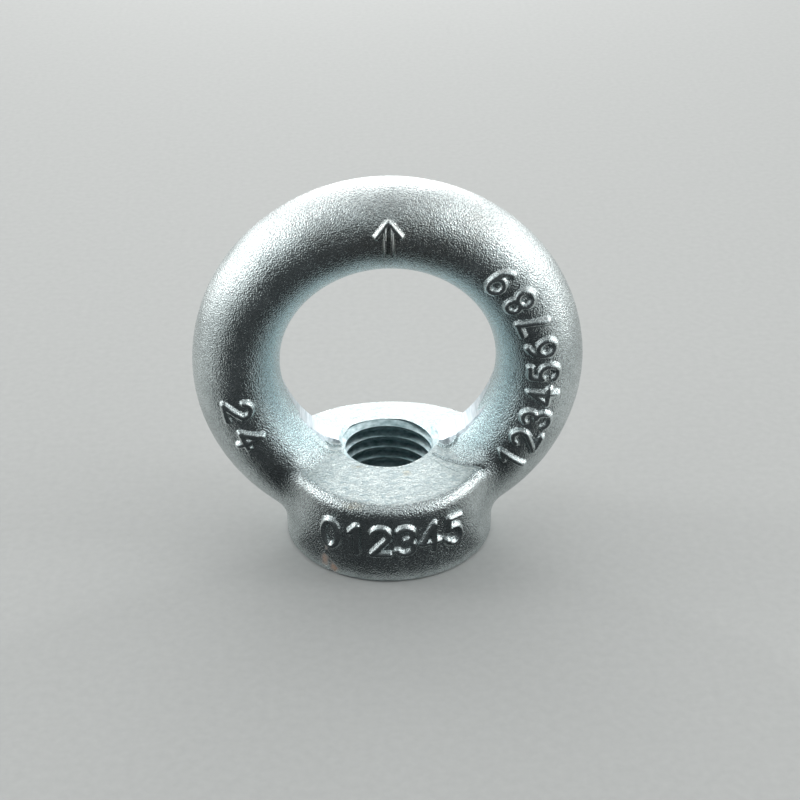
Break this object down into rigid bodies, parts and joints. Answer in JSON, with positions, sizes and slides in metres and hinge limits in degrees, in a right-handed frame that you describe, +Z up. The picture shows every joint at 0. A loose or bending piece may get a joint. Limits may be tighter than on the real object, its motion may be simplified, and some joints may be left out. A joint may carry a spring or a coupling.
{
  "type": "lifting eye nut",
  "caption": "Forged lifting eye nut: a round ring blended into a round collar with a central through thread.",
  "frame": {"origin": "middle of the collar's flat base, on the axis of the thread", "axes": "+Z up the thread towards the ring, ring in the XZ plane, +Y through the eye away from the picture's camera"},
  "size_m": [0.0904, 0.05, 0.0902],
  "materials": {
    "zinc_plated_steel": "bright zinc plating over a shot-blasted forging"
  },
  "bodies": {
    "root": {"eye_nut": "zinc_plated_steel"}
  },
  "joints": []
}
